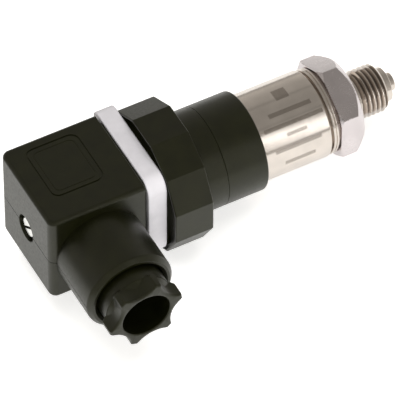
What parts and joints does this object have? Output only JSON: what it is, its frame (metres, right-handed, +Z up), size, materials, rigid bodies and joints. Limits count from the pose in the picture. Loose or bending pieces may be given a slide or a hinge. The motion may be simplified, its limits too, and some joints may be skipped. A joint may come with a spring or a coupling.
{
  "type": "pressure transmitter",
  "caption": "Stainless pressure transmitter with a G 1/4 gauge stud and a right-angle electrical plug with cable gland.",
  "frame": {"origin": "centre of the sealing face at the root of the process thread", "axes": "+X along the instrument's axis, out of the plug and towards the tip of the process thread; +Z up as the instrument lies on a flat of its flange; the cable entry points along -Y"},
  "size_m": [0.1065, 0.0583, 0.0372],
  "materials": {
    "stainless_turned": "turned and milled stainless steel, bright",
    "stainless_case": "finely turned stainless tube, bright",
    "ceramic": "white ceramic measuring cell",
    "black_rubber": "black nitrile rubber",
    "black_plastic": "black glass-filled polyamide, satin",
    "grey_plastic": "dark grey polyamide",
    "grey_gasket": "pale grey silicone",
    "tinned_brass": "tinned copper alloy",
    "brass": "plain brass",
    "circuit_board": "green glass-epoxy board",
    "chip_plastic": "black epoxy packages",
    "zinc_plated_steel": "zinc-plated steel, bright"
  },
  "bodies": {
    "transmitter": {"process_connection": "stainless_turned", "sensor_cell": "ceramic", "cell_seal": "black_rubber", "clamp_ring": "stainless_turned", "steel_case": "stainless_case", "end_ring": "black_plastic", "ring_seal": "black_rubber", "plug_base": "black_plastic", "pin_1": "tinned_brass", "pin_2": "tinned_brass", "pin_3": "tinned_brass", "earth_pin": "tinned_brass", "screw_bush": "brass", "terminal_board": "circuit_board", "circuit_board": "circuit_board", "board_chips": "chip_plastic", "cell_leads": "tinned_brass"},
    "plug": {"plug_housing": "black_plastic", "contact_insert": "grey_plastic", "socket_1": "brass", "socket_2": "brass", "socket_3": "brass", "socket_4": "brass", "terminal_screw_1": "zinc_plated_steel", "terminal_screw_2": "zinc_plated_steel", "terminal_screw_3": "zinc_plated_steel", "terminal_screw_4": "zinc_plated_steel", "profile_gasket": "grey_gasket", "screw_washer": "black_rubber", "cable_grommet": "black_rubber", "thrust_washer": "black_plastic"},
    "plug_screw": {"centre_screw": "zinc_plated_steel"},
    "nut": {"gland_nut": "black_plastic"}
  },
  "joints": [
    {"name": "plug_pull", "type": "slide", "parent": "transmitter", "child": "plug", "axis": [-1, 0, 0], "range_m": [0, 0.02]},
    {"name": "centre_screw_turn", "type": "hinge", "parent": "plug", "child": "plug_screw", "pos_m": [-0.0905, 0, 0], "axis": [1, 0, 0], "continuous": true},
    {"name": "gland_nut_turn", "type": "hinge", "parent": "plug", "child": "nut", "pos_m": [-0.07985, -0.03495, 0], "axis": [0, -1, 0], "continuous": true}
  ]
}
